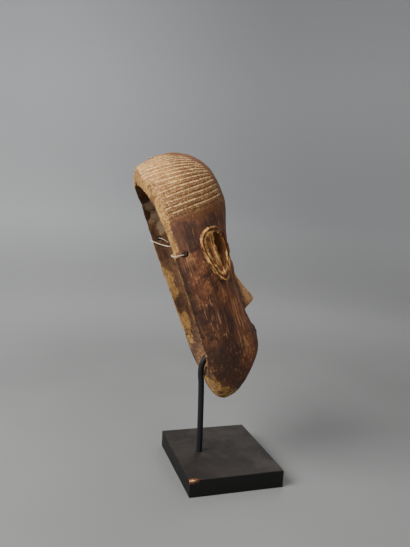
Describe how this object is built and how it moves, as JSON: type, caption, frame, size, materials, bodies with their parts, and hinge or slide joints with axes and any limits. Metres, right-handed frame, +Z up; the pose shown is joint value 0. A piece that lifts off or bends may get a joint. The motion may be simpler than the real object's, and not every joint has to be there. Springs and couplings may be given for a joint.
{
  "type": "carved dance mask on a stand",
  "caption": "Long carved wooden face mask with a ridged dome of hair, raised ears and an open hollow back, held upright by a bent steel rod in a wooden plinth.",
  "frame": {"origin": "centre of the plinth's underside", "axes": "+Z up, the face of the mask looks along -Y, +X to the right as seen from in front of the face"},
  "size_m": [0.1421, 0.168, 0.3655],
  "materials": {
    "carved_wood": "old hand-worn wood, dark brown and tan, dry",
    "thread": "twisted cream thread",
    "black_steel": "satin black",
    "black_wood": "worn black stain, one chipped corner"
  },
  "bodies": {
    "root": {"mask": "carved_wood", "tie_string": "thread", "stand_rod": "black_steel", "plinth": "black_wood"}
  },
  "joints": []
}
